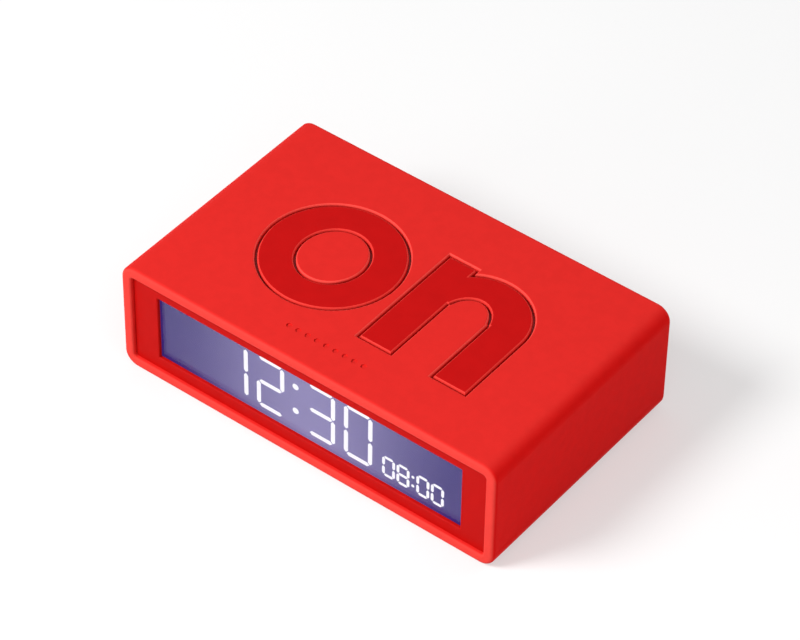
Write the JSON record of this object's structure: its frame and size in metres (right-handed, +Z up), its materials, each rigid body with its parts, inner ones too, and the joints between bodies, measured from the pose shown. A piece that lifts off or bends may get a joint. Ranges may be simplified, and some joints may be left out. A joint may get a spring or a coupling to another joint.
{
  "type": "flip-over alarm clock",
  "caption": "Slab-shaped digital alarm clock with a recessed display at the front. Turning it over, from its on face to its off face, arms or silences the alarm.",
  "frame": {"origin": "middle of the underside, on the surface that the clock rests on", "axes": "+X to the right along the display, +Y from the display to the back, +Z up through the on face"},
  "size_m": [0.105, 0.065, 0.03],
  "materials": {
    "soft_red": "matte soft-touch",
    "letter_red": "satin",
    "chassis_red": "matte",
    "panel_red": "fine matte",
    "button_red": "matte",
    "clear_acrylic": "polished clear",
    "lcd_violet": "even violet glow",
    "segment_white": "lit",
    "guide_clear": "frosted clear",
    "lamp_white": "lit",
    "sheet_white": "matte",
    "strip_rubber": "striped",
    "holder_white": "matte",
    "board_green": "solder mask",
    "resin_black": "satin",
    "can_metal": "satin",
    "ball_steel": "polished",
    "copper_foil": "satin",
    "spring_metal": "nickel plated",
    "brass_plate": "satin",
    "ceramic_white": "matte",
    "tray_black": "matte",
    "cell_wrap": "glossy sleeve",
    "switch_metal": "satin",
    "screw_steel": "zinc plated",
    "lead_red": "satin insulation",
    "lead_black": "satin insulation",
    "ribbon_grey": "satin"
  },
  "bodies": {
    "case": {"soft_skin": "soft_red", "on_o_centre": "soft_red", "off_o_centre": "soft_red", "on_letter_o": "letter_red", "on_letter_n": "letter_red", "off_letter_o": "letter_red", "off_first_f": "letter_red", "off_second_f": "letter_red", "chassis_lower": "chassis_red", "chassis_upper": "chassis_red", "chassis_screws": "screw_steel", "front_bezel": "panel_red", "display_lens": "clear_acrylic", "lcd_cell": "lcd_violet", "lcd_segments": "segment_white", "light_guide": "guide_clear", "backlight_lamps": "lamp_white", "reflector_sheet": "sheet_white", "connector_strips": "strip_rubber", "display_holder": "holder_white", "main_board": "board_green", "board_screws": "screw_steel", "controller_blob": "resin_black", "crystal_can": "can_metal", "capacitors": "can_metal", "tilt_can": "can_metal", "tilt_plug": "resin_black", "touch_pad_upper": "copper_foil", "touch_pad_lower": "copper_foil", "touch_leaves": "spring_metal", "buzzer_ring": "resin_black", "buzzer_plate": "brass_plate", "piezo_disc": "ceramic_white", "battery_tray": "tray_black", "lower_cell": "cell_wrap", "upper_cell": "cell_wrap", "bridge_contact": "spring_metal", "plus_contact": "spring_metal", "minus_contact": "spring_metal", "lower_spring": "spring_metal", "upper_spring": "spring_metal", "rear_panel": "panel_red", "push_switches": "switch_metal", "button_board": "board_green", "button_board_screws": "screw_steel", "red_lead": "lead_red", "black_lead": "lead_black", "buzzer_leads": "lead_black", "button_ribbon": "ribbon_grey"},
    "alarm_button": {"alarm_button": "button_red", "alarm_plunger": "resin_black"},
    "time_button": {"time_button": "button_red", "time_plunger": "resin_black"},
    "minus_button": {"minus_button": "button_red", "minus_plunger": "resin_black"},
    "plus_button": {"plus_button": "button_red", "plus_plunger": "resin_black"},
    "battery_door": {"battery_door": "panel_red"},
    "tilt_ball": {"tilt_ball": "ball_steel"}
  },
  "joints": [
    {"name": "alarm_press", "type": "slide", "parent": "case", "child": "alarm_button", "axis": [0, -1, 0], "range_m": [0, 0.0005], "stiffness_N_per_m": 1500},
    {"name": "time_press", "type": "slide", "parent": "case", "child": "time_button", "axis": [0, -1, 0], "range_m": [0, 0.0005], "stiffness_N_per_m": 1500},
    {"name": "minus_press", "type": "slide", "parent": "case", "child": "minus_button", "axis": [0, -1, 0], "range_m": [0, 0.0005], "stiffness_N_per_m": 1500},
    {"name": "plus_press", "type": "slide", "parent": "case", "child": "plus_button", "axis": [0, -1, 0], "range_m": [0, 0.0005], "stiffness_N_per_m": 1500},
    {"name": "battery_door_swing", "type": "hinge", "parent": "case", "child": "battery_door", "pos_m": [0.00442, 0.03, 0.015], "axis": [0, 0, -1], "range_deg": [0, 95]},
    {"name": "tilt_ball_roll", "type": "slide", "parent": "case", "child": "tilt_ball", "axis": [0, 0, 1], "range_m": [0, 0.002]}
  ]
}
